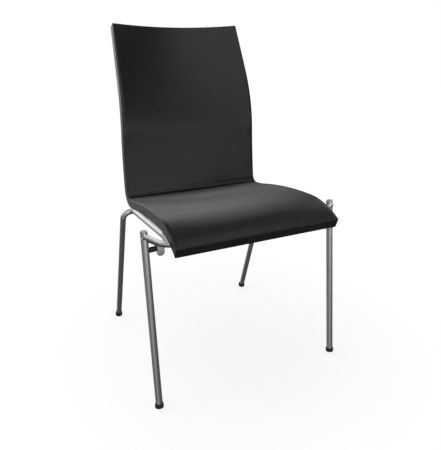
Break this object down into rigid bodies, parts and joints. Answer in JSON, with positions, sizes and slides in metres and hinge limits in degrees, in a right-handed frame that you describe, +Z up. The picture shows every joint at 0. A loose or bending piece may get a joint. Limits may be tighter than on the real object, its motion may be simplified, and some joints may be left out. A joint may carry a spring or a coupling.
{
  "type": "stacking choir chair",
  "caption": "Upholstered one-piece seat and back shell on a four-leg bent steel tube frame with glides and stacking buffers.",
  "frame": {"origin": "on the floor, under the middle of the chair's bounding box", "axes": "+Z up; -Y is where a sitter faces, so the back stands towards +Y; +X is the sitter's left; left in the node names is -X, as seen from in front of the chair"},
  "size_m": [0.5364, 0.5326, 0.8798],
  "materials": {
    "cover": "smooth black leather-look upholstery with a soft sheen",
    "cover_edge": "black leather-look edge band and welt, a little more worn",
    "plywood": "bare moulded birch plywood, fully covered",
    "tube_steel": "satin chrome on bent steel tube",
    "plain_steel": "dull zinc-plated steel",
    "black_plastic": "moulded satin black plastic",
    "black_rubber": "matte black rubber"
  },
  "bodies": {
    "root": {"shell_core": "plywood", "seat_pad": "cover", "back_pad": "cover", "seat_underside_pad": "cover", "back_rear_pad": "cover", "edge_band": "cover_edge", "crease_welt": "cover_edge", "left_front_leg": "tube_steel", "right_front_leg": "tube_steel", "left_top_cap": "tube_steel", "right_top_cap": "tube_steel", "left_side_tube": "tube_steel", "right_side_tube": "tube_steel", "front_cross_tube": "tube_steel", "middle_cross_tube": "tube_steel", "front_left_glide": "black_plastic", "front_right_glide": "black_plastic", "rear_left_glide": "black_plastic", "rear_right_glide": "black_plastic", "left_buffer_lug": "plain_steel", "right_buffer_lug": "plain_steel", "left_buffer_pin": "plain_steel", "right_buffer_pin": "plain_steel", "left_buffer_sleeve": "black_rubber", "right_buffer_sleeve": "black_rubber", "front_left_plate": "plain_steel", "front_right_plate": "plain_steel", "rear_left_plate": "plain_steel", "rear_right_plate": "plain_steel", "front_left_standoff": "black_plastic", "front_right_standoff": "black_plastic", "rear_left_standoff": "black_plastic", "rear_right_standoff": "black_plastic", "seat_screws": "plain_steel", "seat_nuts": "plain_steel"}
  },
  "joints": []
}
